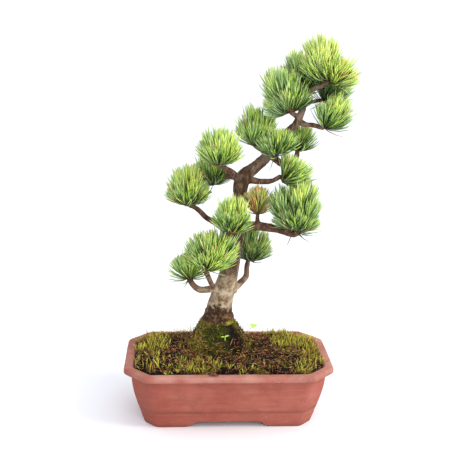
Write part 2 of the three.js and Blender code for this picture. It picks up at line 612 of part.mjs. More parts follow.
// Wood that later pieces are cut clear of, and the pieces themselves, in the order they grow.
let wood = solidOf(limb(TRUNK_ROUTE, TRUNK_SIDES, CLEARANCE));
for (const [name, limbs] of Object.entries(BRANCHES)) {
  const join = (clearance) => limbs.map((route) => solidOf(limb(route, LIMB_SIDES, clearance)))
    .reduce((all, next) => all.add(next));
  tree.add(mesh(name, geometryOf(join(0).subtract(wood)), MATERIALS.twig_bark));
  wood = wood.add(join(CLEARANCE));
}

let taken = wood;
Object.entries(NEEDLES).forEach(([name, cluster], order) => {
  const envelope = solidOf(brush(cluster, order)).subtract(taken);
  tree.add(mesh(name, geometryOf(envelope), MATERIALS.needles));
  taken = taken.add(solidOf(brush(cluster, order, CLEARANCE)));
});
bonsai.add(tree);

// The whole stands on z = 0 with the middle of its box over the origin.
const box = new THREE.Box3().setFromObject(bonsai, true);
const centre = box.getCenter(new THREE.Vector3());
bonsai.position.set(-centre.x, -centre.y, -box.min.z);

const model = new THREE.Group();
model.add(bonsai);

export default model;
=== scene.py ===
# %% [markdown]
# # A white pine bonsai in a terracotta pot
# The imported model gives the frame: where the pot, the soil, the trunk, each branch and each cluster of
# needles sits. This lesson dresses that frame. Everything is in metres, so sizes below are written in
# millimetres and multiplied by MM.

# %% Load the frame
import math
import random

import bmesh
import bpy
import numpy as np
from mathutils import Matrix, Vector, noise
from mathutils.bvhtree import BVHTree


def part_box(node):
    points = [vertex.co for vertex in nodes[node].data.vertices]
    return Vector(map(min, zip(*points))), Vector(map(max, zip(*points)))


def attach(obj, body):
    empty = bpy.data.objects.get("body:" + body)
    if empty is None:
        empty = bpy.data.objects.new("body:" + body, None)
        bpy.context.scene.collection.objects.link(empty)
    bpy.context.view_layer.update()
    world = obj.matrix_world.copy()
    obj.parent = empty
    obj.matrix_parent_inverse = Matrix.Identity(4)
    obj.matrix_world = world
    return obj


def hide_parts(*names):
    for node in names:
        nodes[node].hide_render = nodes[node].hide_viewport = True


MM = 0.001
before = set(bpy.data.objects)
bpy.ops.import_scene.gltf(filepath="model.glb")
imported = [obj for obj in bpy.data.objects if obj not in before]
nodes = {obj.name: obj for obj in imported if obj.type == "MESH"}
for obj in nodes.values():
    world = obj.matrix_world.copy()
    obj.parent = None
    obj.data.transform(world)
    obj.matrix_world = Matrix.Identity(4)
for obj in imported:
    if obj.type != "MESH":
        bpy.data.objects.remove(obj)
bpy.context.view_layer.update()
pot_low, pot_high = (Vector(corner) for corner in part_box("pot"))
pot_middle = (pot_low + pot_high) / 2

# %% [markdown]
# ## The camera
# The camera stands about a metre in front of the pot and half a metre up, so it looks down into the rim and
# the pot's sides draw together a little towards the feet.

# %% Camera
CAMERA_FROM_FEET = Vector((-55, -952, 496)) * MM
LOOK_DOWN, LOOK_RIGHT, ROLL = (math.radians(angle) for angle in (15.29, 3.66, 1.31))
camera_data = bpy.data.cameras.new("camera")
camera_data.sensor_width = 36
camera_data.lens = 61.3
camera_data.clip_start = 0.05
camera = bpy.data.objects.new("camera", camera_data)
bpy.context.scene.collection.objects.link(camera)
camera.location = Vector((pot_middle.x, pot_middle.y, pot_low.z)) + CAMERA_FROM_FEET
camera.rotation_euler = (
    Matrix.Rotation(-LOOK_RIGHT, 3, "Z") @ Matrix.Rotation(math.pi / 2 - LOOK_DOWN, 3, "X")
    @ Matrix.Rotation(ROLL, 3, "Z")
).to_euler()
bpy.context.scene.camera = camera
bpy.context.scene.view_settings.view_transform = "Standard"
print("camera at", [round(c, 3) for c in camera.location])

# %% [markdown]
# ## Small helpers
# A piece is a mesh that rides on the one body, stands for some of the frame's nodes and takes its finish
# from a material slot. Materials are node graphs, and a few helpers keep them short to read. Each helper
# adds one kind of node and gives back the socket that carries its result.

# %% Helpers for pieces
def as_mesh(bm, name):
    """The bmesh as a mesh. The bmesh is freed."""
    mesh = bpy.data.meshes.new(name)
    bm.to_mesh(mesh)
    bm.free()
    return mesh


def piece_from(bm, name, material, stands_for=()):
    """The finished bmesh as an object in the scene, in its place in the frame."""
    return piece_from_mesh(as_mesh(bm, name), name, material, stands_for)


def piece_from_mesh(mesh, name, material, stands_for=()):
    """A mesh as an object in the scene, with its finish, its body and the nodes that it stands for."""
    made = bpy.data.objects.new(name, mesh)
    bpy.context.scene.collection.objects.link(made)
    mesh.materials.clear()
    mesh.materials.append(material)
    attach(made, "root")
    if stands_for:
        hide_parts(*stands_for)
    print(name, "has", len(mesh.polygons), "faces")
    return made


def copy_of(*names):
    """The named nodes' meshes merged into one bmesh."""
    bm = bmesh.new()
    for name in names:
        bm.from_mesh(nodes[name].data)
    bmesh.ops.remove_doubles(bm, verts=bm.verts, dist=0.001 * MM)
    bm.normal_update()
    return bm


def remeshed(bm, name, voxel, smoothing, kept=1.0):
    """The bmesh as one skin of small faces with soft edges, thinned to a share of them where it's flat."""
    made = bpy.data.objects.new(name, as_mesh(bm, name))
    bpy.context.scene.collection.objects.link(made)
    remesh = made.modifiers.new("remesh", "REMESH")
    remesh.mode = "VOXEL"
    remesh.voxel_size = voxel
    smooth = made.modifiers.new("smooth", "SMOOTH")
    smooth.iterations = smoothing
    smooth.factor = 0.5
    if kept < 1:
        thin = made.modifiers.new("thin", "DECIMATE")
        thin.ratio = kept
    graph = bpy.context.evaluated_depsgraph_get()
    skin = bmesh.new()
    skin.from_mesh(made.evaluated_get(graph).to_mesh())
    bpy.data.objects.remove(made)
    for face in skin.faces:
        face.smooth = True
    return skin


# %% Helpers for materials
def finish(name, roughness):
    """A new material, its node tree and its shader."""
    material = bpy.data.materials.new(name)
    material.use_nodes = True
    shader = material.node_tree.nodes["Principled BSDF"]
    shader.inputs["Roughness"].default_value = roughness
    shader.inputs["Specular IOR Level"].default_value = 0.3
    return material, material.node_tree, shader


def add(tree, kind, **values):
    """A node with its sockets set, or linked where the value is another node's output."""
    made = tree.nodes.new(kind)
    for name, value in values.items():
        socket = made.inputs.get(name.replace("_", " ").title())
        if socket is None:
            setattr(made, name, value)
        elif isinstance(value, bpy.types.NodeSocket):
            tree.links.new(value, socket)
        else:
            socket.default_value = value
    return made


def ramp(tree, factor, stops):
    """A colour ramp: stops are (position, colour or grey)."""
    made = tree.nodes.new("ShaderNodeValToRGB")
    tree.links.new(factor, made.inputs[0])
    elements = made.color_ramp.elements
    while len(elements) < len(stops):
        elements.new(0.5)
    for element, (position, colour) in zip(elements, stops):
        element.position = position
        element.color = (colour, colour, colour, 1) if isinstance(colour, float) else (*colour, 1)
    return made.outputs["Color"]


def speckle(tree, where, scale, detail=6.0, rough=0.6):
    """Noise from 0 to 1, with scale blotches in a metre."""
    made = add(tree, "ShaderNodeTexNoise", scale=scale, detail=detail, roughness=rough, vector=where)
    return made.outputs["Fac"]


def blend(tree, factor, first, second, how="MIX"):
    """Two colours mixed by a factor that is a number or a socket."""
    made = tree.nodes.new("ShaderNodeMix")
    made.data_type = "RGBA"
    made.blend_type = how
    for socket, value in ((made.inputs[0], factor), (made.inputs[6], first), (made.inputs[7], second)):
        if isinstance(value, bpy.types.NodeSocket):
            tree.links.new(value, socket)
        else:
            socket.default_value = value if isinstance(value, float) else (*value, 1)
    return made.outputs[2]


def sums(tree, operation, first, second=0.0):
    """Arithmetic on numbers or sockets."""
    made = tree.nodes.new("ShaderNodeMath")
    made.operation = operation
    for socket, value in zip(made.inputs, (first, second)):
        if isinstance(value, bpy.types.NodeSocket):
            tree.links.new(value, socket)
        else:
            socket.default_value = value
    return made.outputs[0]


def share(tree, value, none, full):
    """0 where the value is at none, 1 where it is at full, and an even change between them."""
    return add(tree, "ShaderNodeMapRange", value=value, from_min=none, from_max=full).outputs[0]


def parts_of(tree, place):
    """A place's X, Y and Z, each as a socket."""
    return add(tree, "ShaderNodeSeparateXYZ", vector=place).outputs


def bump(tree, shader, height, distance, strength=1.0):
    """Small dents, as deep as distance, where the height is low."""
    made = add(tree, "ShaderNodeBump", height=height, distance=distance, strength=strength)
    tree.links.new(made.outputs["Normal"], shader.inputs["Normal"])


def object_place(tree):
    """A point's place on the object, in metres."""
    return tree.nodes.new("ShaderNodeTexCoord").outputs["Object"]


# %% [markdown]
# ## Terracotta
# The pot is unglazed clay that has been outdoors. Its colour drifts from orange-brown to a dull
# pink-brown, lime blooms pale on the rim and in faint patches, and fine grit shows all over. The rim is
# painted paler than the walls by height: partly lime bloom, partly a painted highlight from the light above.
# Painted shade darkens the clay under the lip, in the groove above the foot band and along the ground, and
# the left side is painted darker as painted shade.

# %% Clay
# From here up the rim is painted paler: partly lime bloom, partly a painted highlight from above.
RIM_BLOOM_AND_HIGHLIGHT = pot_high.z - 14 * MM
UNDER_LIP = pot_high.z - 9.5 * MM
GROOVE = pot_low.z + 23.5 * MM
# Painted shade: dark bands under the lip, in the groove above the foot band and along the ground, each as
# wide as its reach.
PAINTED_SHADE_LINES = ((UNDER_LIP, 3.5 * MM), (GROOVE, 3.6 * MM), (pot_low.z, 7 * MM))
# The left cant is painted darker to the left of this line, as painted shade.
SHADED_SIDE = pot_low.x + 27 * MM


def weathered_clay_with_rim_highlight(tree, where, drift, height):
    """The clay with its smears of lime, its rim painted paler as lime bloom and painted highlight, light
    spots and dark grit.
    """
    clay = ramp(tree, drift, [
        (0.3, (0.27, 0.06, 0.04)), (0.52, (0.34, 0.088, 0.06)), (0.72, (0.39, 0.12, 0.084)),
    ])
    streaks = add(tree, "ShaderNodeMapping", vector=where, scale=(9.0, 9.0, 60.0)).outputs[0]
    smears = ramp(tree, speckle(tree, streaks, 3.0, 5.0), [(0.45, 0.0), (0.75, 1.0)])
    clay = blend(tree, sums(tree, "MULTIPLY", smears, 0.35), clay, (0.45, 0.18, 0.13))
    # Lime bloom and painted highlight: the clay turns pale towards the top of the rim, in patches.
    near_rim = share(tree, height, RIM_BLOOM_AND_HIGHLIGHT, pot_high.z)
    patches = ramp(tree, speckle(tree, where, 45.0, 6.0), [(0.35, 0.25), (0.65, 1.0)])
    bloom_and_highlight = sums(tree, "MULTIPLY", sums(tree, "MULTIPLY", near_rim, patches), 0.6)
    clay = blend(tree, bloom_and_highlight, clay, (0.55, 0.32, 0.26))
    spots = ramp(tree, speckle(tree, where, 260.0, 2.0), [(0.69, 0.0), (0.74, 1.0)])
    clay = blend(tree, sums(tree, "MULTIPLY", spots, 0.35), clay, (0.6, 0.42, 0.35))
    grit = ramp(tree, speckle(tree, where, 520.0, 3.0), [(0.25, 1.0), (0.36, 0.0)])
    return blend(tree, sums(tree, "MULTIPLY", grit, 0.5), clay, (0.2, 0.05, 0.035))


# %% Painted shade and smudges on the clay
def shaded_and_smudged(tree, where, clay, height):
    """The clay with painted shade lines under the lip, in the groove and along the ground, its left side
    painted darker as painted shade, and dark smudges.
    """
    # Painted shade along each line, darkest on it and fading over its reach.
    for level, reach in PAINTED_SHADE_LINES:
        apart = sums(tree, "ABSOLUTE", sums(tree, "SUBTRACT", height, level))
        uneven = ramp(tree, speckle(tree, where, 60.0), [(0.3, 0.25), (0.65, 0.75)])
        shade_line = sums(tree, "MULTIPLY", share(tree, apart, reach, 0.0), uneven)
        clay = blend(tree, shade_line, clay, (0.15, 0.045, 0.03))
    # Painted shade: the left cant is darkened.
    left = share(tree, parts_of(tree, where)["X"], SHADED_SIDE + 10 * MM, SHADED_SIDE)
    clay = blend(tree, sums(tree, "MULTIPLY", left, 0.3), clay, (0.16, 0.04, 0.026))
    smudge = ramp(tree, speckle(tree, where, 32.0, 6.0, 0.7), [(0.48, 0.0), (0.7, 0.6)])
    return blend(tree, smudge, clay, (0.22, 0.06, 0.04))


# %% Terracotta finish
def terracotta():
    material, tree, shader = finish("terracotta", 0.85)
    where = object_place(tree)
    drift = speckle(tree, where, 14.0, 4.0)
    height = parts_of(tree, where)["Z"]
    clay = shaded_and_smudged(tree, where, weathered_clay_with_rim_highlight(tree, where, drift, height), height)
    tree.links.new(clay, shader.inputs["Base Color"])
    fine = sums(tree, "ADD", sums(tree, "MULTIPLY", speckle(tree, where, 420.0), 0.35), drift)
    bump(tree, shader, fine, 0.6 * MM, 0.7)
    return material


# %% [markdown]
# ## The pot
# The frame's pot already has every true size: lip, belly, groove, arches and drain holes. A real one was
# pressed in a mould and wiped by hand, so nothing on it is sharp. Remeshing a copy in small voxels and
# smoothing it rounds all the edges at once, thinning drops faces where the wall is flat, and a little noise
# along the normals makes it uneven. Last, its feet are set flat on the ground again.

# %% Pot
POT_VOXEL = 1.05 * MM


def make_pot():
    bm = remeshed(copy_of("pot"), "pot_skin", POT_VOXEL, smoothing=2, kept=0.42)
    for vert in bm.verts:
        broad = noise.noise(vert.co * 28)
        fine = noise.noise(vert.co * 160)
        vert.co += vert.normal * (0.35 * broad + 0.1 * fine) * MM
    low = min(vert.co.z for vert in bm.verts)
    for vert in bm.verts:
        if vert.co.z < low + 0.5 * MM:
            vert.co.z = pot_low.z
    bm.normal_update()
    piece_from(bm, "terracotta_pot", terracotta(), ["pot"])


make_pot()

# %% [markdown]
# ## Drain screens and clips
# Two plastic screens keep the soil in, each held by a bent aluminium wire. Their shapes come from the frame,
# so they only need finishes: a slightly scuffed black plastic and a dull copper-brown wire.

# %% Screens and clips
def screen_plastic():
    material, tree, shader = finish("screen_plastic", 0.6)
    where = object_place(tree)
    scuffs = speckle(tree, where, 300.0)
    grey = ramp(tree, scuffs, [(0.3, (0.012, 0.013, 0.013)), (0.7, (0.035, 0.036, 0.034))])
    tree.links.new(grey, shader.inputs["Base Color"])
    bump(tree, shader, speckle(tree, where, 900.0), 0.1 * MM)
    return material


def brown_wire():
    material, tree, shader = finish("brown_wire", 0.42)
    where = object_place(tree)
    tone = ramp(tree, speckle(tree, where, 400.0), [(0.3, (0.2, 0.1, 0.05)), (0.7, (0.36, 0.2, 0.11))])
    tree.links.new(tone, shader.inputs["Base Color"])
    shader.inputs["Metallic"].default_value = 1.0
    bump(tree, shader, speckle(tree, where, 1500.0), 0.05 * MM)
    return material


def refinish(name, material):
    """A finish for a node of the frame that is shown as it is."""
    nodes[name].data.materials.clear()
    nodes[name].data.materials.append(material)


plastic, wire = screen_plastic(), brown_wire()
for side in ("left", "right"):
    refinish(f"drain_screen_{side}", plastic)
    refinish(f"screen_clip_{side}", wire)

# %% [markdown]
# ## Bark
# The tree is grafted: the old rootstock below is dark and craggy, the stem above it is smooth and pale up
# to the first big branches, and the older wood of the crown is brown and flaky. All three are one finish
# that changes with height, at a level that wavers and slants. Thin branches stay red-brown, which an
# attribute named twig tells, and golden moss climbs the two sides of the rootstock.

# %% Levels on the trunk
mound_low, mound_high = (Vector(corner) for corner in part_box("moss_mound"))
mound_middle = (mound_low + mound_high) / 2
mound_radius = (mound_high.x - mound_low.x) / 2
GRAFT = pot_high.z + 59 * MM
OLD_WOOD = pot_high.z + 104 * MM
LEVEL_WAVER = 64 * MM
LEVEL_SLANT = 0.35
MOSS_CLIMB = 0.4
GOLDEN_MOSS = [(0.32, (0.03, 0.024, 0.004)), (0.5, (0.15, 0.12, 0.014)), (0.66, (0.42, 0.33, 0.04))]
print("graft at", round(GRAFT, 3), "old wood from", round(OLD_WOOD, 3))
print("mound radius", round(mound_radius, 3))


# %% Bark of each age
def rootstock_bark(tree, where):
    chunks = speckle(tree, where, 150.0, 7.0, 0.75)
    return ramp(tree, chunks, [
        (0.32, (0.008, 0.005, 0.003)), (0.5, (0.05, 0.024, 0.01)), (0.64, (0.26, 0.14, 0.065)),
    ])


def smooth_bark(tree, where):
    tone = speckle(tree, where, 120.0, 7.0, 0.68)
    return ramp(tree, tone, [
        (0.34, (0.09, 0.045, 0.02)), (0.45, (0.25, 0.17, 0.095)), (0.62, (0.5, 0.41, 0.29)),
    ])


def old_bark(tree, where, flakes):
    old = ramp(tree, flakes, [
        (0.28, (0.022, 0.011, 0.006)), (0.5, (0.085, 0.043, 0.022)), (0.7, (0.32, 0.22, 0.14)),
    ])
    worn = ramp(tree, speckle(tree, where, 48.0, 4.0), [(0.48, 0.0), (0.64, 0.55)])
    return blend(tree, worn, old, (0.27, 0.2, 0.15))


def twig_bark(tree, flakes):
    return ramp(tree, flakes, [
        (0.3, (0.035, 0.013, 0.008)), (0.5, (0.11, 0.05, 0.029)), (0.7, (0.28, 0.18, 0.12)),
    ])


# %% Bark finish
def bark():
    material, tree, shader = finish("bark", 0.9)
    where = object_place(tree)
    place = parts_of(tree, where)
    waver = sums(tree, "MULTIPLY", speckle(tree, where, 75.0), LEVEL_WAVER)
    level = sums(tree, "ADD", place["Z"], sums(tree, "SUBTRACT", waver, LEVEL_WAVER / 2))
    sideways = sums(tree, "ABSOLUTE", sums(tree, "SUBTRACT", place["X"], mound_middle.x))
    climb = sums(tree, "MULTIPLY", sideways, MOSS_CLIMB)
    mossy = share(tree, sums(tree, "SUBTRACT", level, climb), mound_high.z + 3 * MM, mound_high.z - 2 * MM)
    level = sums(tree, "ADD", level, sums(tree, "MULTIPLY", place["X"], LEVEL_SLANT))
    above_graft = share(tree, level, GRAFT - 2 * MM, GRAFT + 3 * MM)
    above_smooth = share(tree, level, OLD_WOOD - 14 * MM, OLD_WOOD + 12 * MM)
    flow = add(tree, "ShaderNodeMapping", vector=where, scale=(1.0, 1.0, 0.45)).outputs[0]
    flakes = speckle(tree, flow, 190.0, 8.0, 0.7)
    colour = blend(tree, above_graft, rootstock_bark(tree, where), smooth_bark(tree, where))
    colour = blend(tree, above_smooth, colour, old_bark(tree, where, flakes))
    twig = add(tree, "ShaderNodeAttribute", attribute_name="twig").outputs["Fac"]
    colour = blend(tree, twig, colour, twig_bark(tree, flakes))
    colour = blend(tree, mossy, colour, ramp(tree, speckle(tree, where, 210.0, 5.0, 0.7), GOLDEN_MOSS))
    tree.links.new(colour, shader.inputs["Base Color"])
    bump(tree, shader, flakes, 1.2 * MM, 0.8)
    return material


# %% [markdown]
# ## Trunk and branches
# In the frame the trunk and each branch are separate, with a hair's gap between them. Wood is continuous,
# so copies are swollen by a fraction of a millimetre until they meet, then remeshed into one skin. Ridges,
# plates and knots are pushed out along the normals: deep and blocky on the rootstock, faint on the smooth
# stem. An attribute named twig keeps how far each point is from the trunk, for the bark.

# %% Stems
STEMS = [name for name in nodes if name == "trunk" or name.startswith(("branch_", "twig_", "shoot_"))]
TRUNK_TREE = BVHTree.FromBMesh(copy_of("trunk"))
print(len(STEMS), "stems")


def swollen(name, amount):
    """A smoothed copy of a stem, grown by an amount, as a mesh."""
    bm = copy_of(name)
    bmesh.ops.subdivide_edges(bm, edges=bm.edges, cuts=1, use_grid_fill=True, smooth=0.6)
    bm.normal_update()
    for vert in bm.verts:
        vert.co += vert.normal * amount
    return as_mesh(bm, name + "_copy")


# %% Relief of the bark
def limited(value):
    """The value, kept between 0 and 1."""
    return min(1.0, max(0.0, value))


def relief(place):
    """How many millimetres the bark stands out at a place on the trunk."""
    craggy = limited(0.5 - (place.z - GRAFT) / (16 * MM))
    old = limited((place.z - OLD_WOOD) / (30 * MM))
    along = Vector((place.x, place.y, place.z * 0.4))
    near, second = noise.voronoi(along * 190)[0][:2]
    plates = min(1.0, 3 * (second - near)) - 0.6
    ridges = noise.fractal((place * 75).lerp(along * 130, 1 - craggy), 0.7, 2.1, 4)
    knots = noise.noise(place * 55)
    depth = craggy * (2.2 * ridges + 1.5 * plates + 5.5 * knots)
    depth += old * (0.6 * ridges + 0.2 * plates + 0.8 * knots)
    depth += (1 - craggy) * (1 - old) * (0.22 * ridges + 0.8 * knots)
    return depth


# %% Wood
def make_wood():
    bm = bmesh.new()
    for name in STEMS:
        bm.from_mesh(swollen(name, 0.45 * MM))
    skin = remeshed(bm, "wood_skin", 0.85 * MM, smoothing=4)
    twig = skin.verts.layers.float.new("twig")
    for vert in skin.verts:
        away = TRUNK_TREE.find_nearest(vert.co)[3]
        thin = min(1.0, away / (5 * MM))
        vert.co += vert.normal * relief(vert.co) * (1 - 0.45 * thin) * MM
        high = 0.4 + 0.6 * limited((vert.co.z - GRAFT - 25 * MM) / (20 * MM))
        vert[twig] = min(1.0, away / (26 * MM)) * high
    skin.normal_update()
    return piece_from(skin, "wood", bark(), STEMS)


wood = make_wood()

# %% [markdown]
# ## Needles
# White pine needles are three-sided: green outside, with bluish lines on the two inner sides. They fan out
# of short shoots and curve up towards the light. One needle is modelled once for each of a few bends, and
# each cluster places hundreds of copies of it.
# The needles' map is a palette: across it run columns of tone, from brown through blue-green to yellow,
# and up it runs the needle from its base to its tip, painted darker towards the base as painted shade.

# %% Needle finish
PALETTE_COLUMNS = 64
BROWN_COLUMNS = 5
DRY_COLUMNS = 10


def palette_place(tree):
    """Sockets for the tone of a point's column from 0 to 1, its place in columns, and its height."""
    parts = parts_of(tree, add(tree, "ShaderNodeUVMap", uv_map="OFBake").outputs[0])
    column = sums(tree, "MULTIPLY", parts["X"], float(PALETTE_COLUMNS))
    tone = sums(tree, "DIVIDE", sums(tree, "FLOOR", column), float(PALETTE_COLUMNS))
    return tone, column, parts["Y"]


def needle_green():
    material, tree, shader = finish("needle_green", 0.42)
    shader.inputs["Specular IOR Level"].default_value = 0.45
    tone, column, height = palette_place(tree)
    brown_end = (BROWN_COLUMNS - 0.5) / PALETTE_COLUMNS
    dry_end = (DRY_COLUMNS - 0.5) / PALETTE_COLUMNS
    green = ramp(tree, tone, [
        (0.0, (0.13, 0.05, 0.026)), (brown_end - 0.004, (0.24, 0.11, 0.06)),
        (brown_end + 0.004, (0.6, 0.27, 0.07)), (dry_end - 0.004, (0.78, 0.62, 0.22)),
        (dry_end + 0.004, (0.045, 0.1, 0.03)), (0.35, (0.14, 0.28, 0.06)), (0.55, (0.32, 0.52, 0.05)),
        (0.78, (0.55, 0.76, 0.08)), (1.0, (0.84, 0.87, 0.2)),
    ])
    side = sums(tree, "FRACT", column)
    inner = sums(tree, "MULTIPLY", sums(tree, "GREATER_THAN", side, 0.5), 0.42)
    is_leaf = sums(tree, "GREATER_THAN", tone, dry_end)
    colour = blend(tree, sums(tree, "MULTIPLY", inner, is_leaf), green, (0.5, 0.72, 0.4))
    # Painted shade: each needle darkens towards its base, deep inside the cluster.
    shade = ramp(tree, height, [(0.0, 0.12), (0.4, 0.7), (0.75, 1.0)])
    colour = blend(tree, 1.0, colour, shade, "MULTIPLY")
    sheath = ramp(tree, height, [(0.06, 1.0), (0.2, 0.0)])
    colour = blend(tree, sheath, colour, (0.13, 0.045, 0.025))
    yellow_tip = ramp(tree, height, [(0.88, 0.0), (1.0, 0.5)])
    colour = blend(tree, sums(tree, "MULTIPLY", yellow_tip, is_leaf), colour, (0.85, 0.78, 0.3))
    tree.links.new(colour, shader.inputs["Base Color"])
    return material


# %% [markdown]
# One needle starts as a three-sided ring. The ring is extruded in steps, scaled a little at each one, and
# the last step closes to a point. It is one unit long, so placing it also sets its length.

# %% One needle
NEEDLE_THICKNESS = 0.046
NEEDLE_STEPS = ((0.3, 1.0), (0.62, 0.95), (0.87, 0.65), (1.0, 0.05))


def needle_shape(bend):
    """A needle along +Z that curves towards +X, as a mesh with its share of the palette."""
    bm = bmesh.new()
    bmesh.ops.create_circle(bm, cap_ends=True, segments=3, radius=0.6 * NEEDLE_THICKNESS / 2)
    cap = bm.faces[:][0]
    at, size = 0.0, 0.6
    for height, width in NEEDLE_STEPS:
        grown = bmesh.ops.extrude_face_region(bm, geom=[cap], use_keep_orig=at == 0.0)["geom"]
        ring = [v for v in grown if isinstance(v, bmesh.types.BMVert)]
        cap = next(f for f in grown if isinstance(f, bmesh.types.BMFace))
        bmesh.ops.translate(bm, verts=ring, vec=(0, 0, height - at))
        bmesh.ops.scale(bm, verts=ring, vec=(width / size, width / size, 1))
        at, size = height, width
    bmesh.ops.recalc_face_normals(bm, faces=bm.faces)
    layer = bm.loops.layers.uv.new("OFBake")
    for face in bm.faces:
        face.smooth = True
        across = 0.2 if face.normal.x < -0.5 else 0.8
        for loop in face.loops:
            sway = 0.1 * loop.vert.co.y / NEEDLE_THICKNESS
            loop[layer].uv = (across + sway, 0.02 + 0.96 * loop.vert.co.z)
    for vert in bm.verts:
        vert.co.x += bend * vert.co.z ** 2
        vert.co.z -= 0.6 * bend * bend * vert.co.z ** 2
    return as_mesh(bm, "needle")


NEEDLE_BENDS = (0.05, 0.15, 0.27, 0.4)
NEEDLE_SHAPES = [needle_shape(bend) for bend in NEEDLE_BENDS]
print("a needle has", len(NEEDLE_SHAPES[0].polygons), "faces")

# %% [markdown]
# ## Placing many copies
# A placement is a shape, a matrix and a palette column. Copies are gathered in a bmesh one by one, and each
# copy's corners are moved to its own column of the map at the end, in the order in which they were added.

# %% Gather copies
UP = Vector((0, 0, 1))


def any_turn(chance):
    """A random angle all the way round."""
    return chance.uniform(0, 6.28)


def aimed(start, direction, length, twist=0.0, width=1.0):
    """A matrix that puts a unit shape at start, along direction, its +X side turned up, then twisted."""
    along = direction.normalized()
    side = UP - along * UP.dot(along)
    if side.length < 0.05:
        side = along.orthogonal()
    side = Matrix.Rotation(twist, 3, along) @ side.normalized()
    across = along.cross(side)
    turn = Matrix((side, across, along)).transposed().to_4x4()
    return Matrix.Translation(start) @ turn @ Matrix.Diagonal((length * width, length * width, length, 1))


def gather(placements):
    """All placements as one mesh. Each is (shape, matrix, palette column)."""
    bm = bmesh.new()
    corners = []
    for shape, matrix, column in placements:
        copy = shape.copy()
        copy.transform(matrix)
        bm.from_mesh(copy)
        corners += [column] * len(shape.loops)
        bpy.data.meshes.remove(copy)
    mesh = as_mesh(bm, "gathered")
    layer = mesh.uv_layers["OFBake"].data
    uv = np.empty(2 * len(layer), dtype=np.float32)
    layer.foreach_get("uv", uv)
    uv[0::2] = (uv[0::2] + np.array(corners)) / PALETTE_COLUMNS
    layer.foreach_set("uv", uv)
    return mesh


def random_on(bm, count, chance, wanted=lambda point, normal: True):
    """Points spread by area over the wanted faces of a bmesh, with their normals."""
    faces = [face for face in bm.faces if wanted(face.calc_center_median(), face.normal)]
    areas = [face.calc_area() for face in faces]
    spots = []
    for face in chance.choices(faces, areas, k=count):
        a, b, c = (vert.co for vert in face.verts[:3])
        s, t = chance.random(), chance.random()
        if s + t > 1:
            s, t = 1 - s, 1 - t
        spots.append((a + (b - a) * s + (c - a) * t, face.normal.copy()))
    return spots


# %% [markdown]
# ## Twigs inside a cluster
# Every needle sits on a shoot. Shoots are thin cones, drawn in the palette's brown columns so that a
# cluster stays one piece with one finish.

# %% A shoot
def shoot_shape():
    bm = bmesh.new()
    bmesh.ops.create_cone(bm, cap_ends=True, segments=6, radius1=0.5, radius2=0.36, depth=1.0)
    bmesh.ops.translate(bm, verts=bm.verts, vec=(0, 0, 0.5))
    layer = bm.loops.layers.uv.new("OFBake")
    for face in bm.faces:
        face.smooth = True
        for loop in face.loops:
            loop[layer].uv = (0.3 + 0.4 * loop.vert.co.x, 0.3 + 0.6 * loop.vert.co.z)
    return as_mesh(bm, "shoot")


SHOOT_SHAPE = shoot_shape()


def stick(start, end, thickness, column):
    """A shoot from start to end."""
    along = end - start
    slim = thickness / along.length
    return SHOOT_SHAPE, aimed(start, along, along.length) @ Matrix.Diagonal((slim, slim, 1, 1)), column


# %% [markdown]
# ## A cluster of needles
# The frame's closed envelope says how far the needle tips reach. Short shoots spread from the wood through
# the lower part of it, and each needle runs from the last stretch of a shoot to a point on the envelope, so
# the needles of a shoot lie nearly side by side like the hairs of a brush. They are aimed a little low
# because they curve up. Few hang down. Each shoot has its own tone, and whole clusters differ too: the crown
# is yellow-green and painted lighter as if sunlit, the inner ones are bluer and painted darker as painted
# shade, and one small cluster is half brown. In each cluster the higher needles get lighter tones, painted
# light from above.

# %% How the clusters differ
WOOD_TREE = BVHTree.FromBMesh(copy_of(*STEMS))
NEEDLE_LENGTH = 39 * MM
AREA_OF_A_SHOOT = 620 * MM * MM
AREA_OF_A_NEEDLE = 8.3 * MM * MM
SHOOT_THICKNESS = 2.0 * MM
BRUSH_STRETCH = 9 * MM
USUAL_HANGING, USUAL_DRY = 0.08, 0.02
# Each cluster's tone is partly the needles' own hue and partly painted light: lighter for the sunlit crown,
# darker for inner clusters in shade.
CLUSTER_TONES_AND_PAINTED_LIGHT = {
    "needles_crown": 0.82, "needles_crown_right": 0.86, "needles_crown_left": 0.52,
    "needles_crown_back": 0.52, "needles_apex_left": 0.56, "needles_apex_right": 0.58,
    "needles_apex_back": 0.46, "needles_upper_left": 0.6, "needles_upper_front": 0.56,
    "needles_upper_back": 0.58, "needles_mid_left": 0.72, "needles_mid_back": 0.6,
    "needles_left": 0.8, "needles_front": 0.66, "needles_front_right": 0.5,
    "needles_mid_right": 0.58, "needles_right": 0.5, "needles_low_front": 0.72,
    "needles_low_left": 0.6, "needles_low_right": 0.42,
}
DRY_SHARE = {"needles_front_right": 0.55, "needles_low_right": 0.06, "needles_crown_right": 0.08}
BROADER = {"needles_apex_back": 0.3, "needles_crown_back": 0.12, "needles_mid_right": 0.15}
HANGING_SHARE = {
    "needles_low_left": 0.5, "needles_low_right": 0.3, "needles_apex_right": 0.35, "needles_right": 0.3,
    "needles_apex_back": 0.6,
}


def tone_column(tone, chance):
    """A green column of the palette, near a tone from 0 for bluish to 1 for yellow."""
    shown = min(0.995, max(0.0, chance.gauss(tone - 0.09, 0.25)))
    return DRY_COLUMNS + int(shown * (PALETTE_COLUMNS - DRY_COLUMNS))


